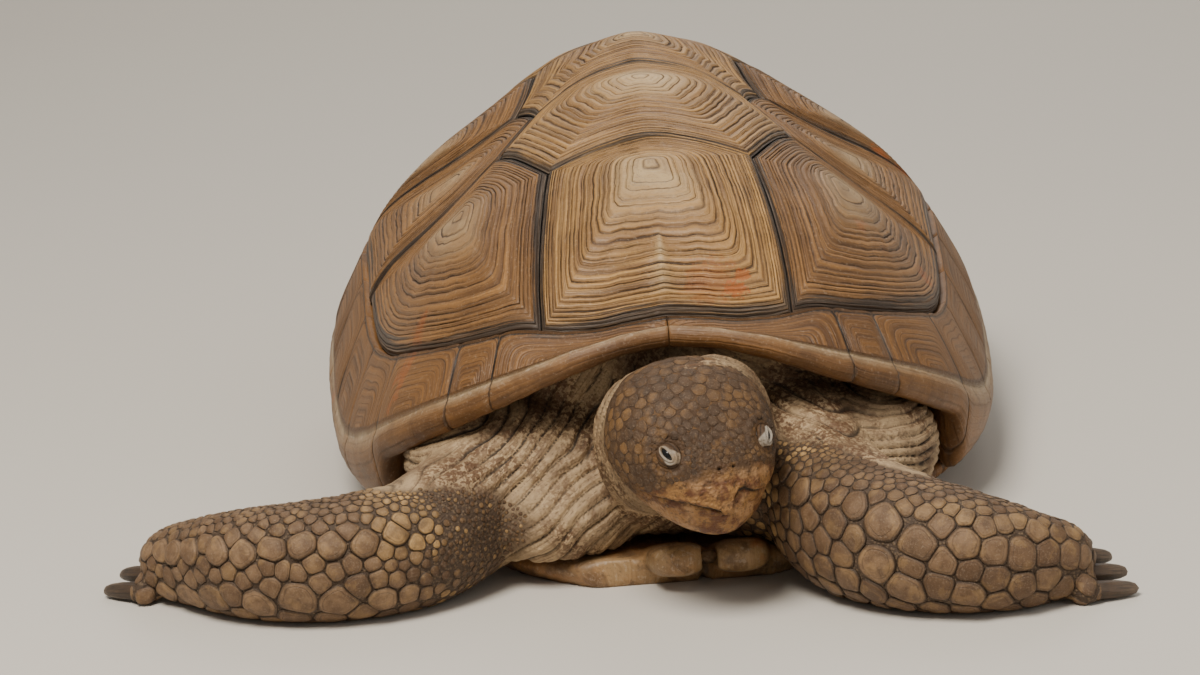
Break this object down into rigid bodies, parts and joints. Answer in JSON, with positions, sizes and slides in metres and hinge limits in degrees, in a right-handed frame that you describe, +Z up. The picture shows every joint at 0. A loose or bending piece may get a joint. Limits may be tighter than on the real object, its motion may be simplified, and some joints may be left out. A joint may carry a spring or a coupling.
{
  "type": "tortoise",
  "caption": "Life-size resting sulcata tortoise: domed shell with ridged plates and rolled rim, head turned and lowered, forelegs spread, hind legs tucked in.",
  "frame": {"origin": "centre of the plastron's flat underside, on the floor plane", "axes": "+Z up, head towards -Y, the animal's own left towards +X"},
  "size_m": [0.7028, 0.8095, 0.311],
  "materials": {
    "shell": "ridged horn plates, satin",
    "shell_edge": "smoother worn horn, satin",
    "plastron": "worn horn, satin",
    "skin": "dry folded hide with horn scales, matt",
    "claw": "dark horn, satin",
    "eye": "wet gloss"
  },
  "bodies": {
    "root": {"vertebral_1": "shell", "vertebral_2": "shell", "vertebral_3": "shell", "vertebral_4": "shell", "vertebral_5": "shell", "costal_left_1": "shell", "costal_left_2": "shell", "costal_left_3": "shell", "costal_left_4": "shell", "costal_right_1": "shell", "costal_right_2": "shell", "costal_right_3": "shell", "costal_right_4": "shell", "marginal_left_1": "shell_edge", "marginal_left_2": "shell_edge", "marginal_left_3": "shell_edge", "marginal_left_4": "shell_edge", "marginal_left_5": "shell_edge", "marginal_left_6": "shell_edge", "marginal_left_7": "shell_edge", "marginal_left_8": "shell_edge", "marginal_left_9": "shell_edge", "marginal_left_10": "shell_edge", "marginal_left_11": "shell_edge", "marginal_right_1": "shell_edge", "marginal_right_2": "shell_edge", "marginal_right_3": "shell_edge", "marginal_right_4": "shell_edge", "marginal_right_5": "shell_edge", "marginal_right_6": "shell_edge", "marginal_right_7": "shell_edge", "marginal_right_8": "shell_edge", "marginal_right_9": "shell_edge", "marginal_right_10": "shell_edge", "marginal_right_11": "shell_edge", "supracaudal": "shell_edge", "plastron": "plastron", "head": "skin", "jaw": "skin", "neck": "skin", "trunk": "skin", "tail": "skin", "foreleg_left": "skin", "foreleg_right": "skin", "hindleg_left": "skin", "hindleg_right": "skin", "claw_left_1": "claw", "claw_left_2": "claw", "claw_left_3": "claw", "claw_left_4": "claw", "claw_left_5": "claw", "claw_right_1": "claw", "claw_right_2": "claw", "claw_right_3": "claw", "claw_right_4": "claw", "claw_right_5": "claw", "eye_left": "eye", "eye_right": "eye"}
  },
  "joints": []
}
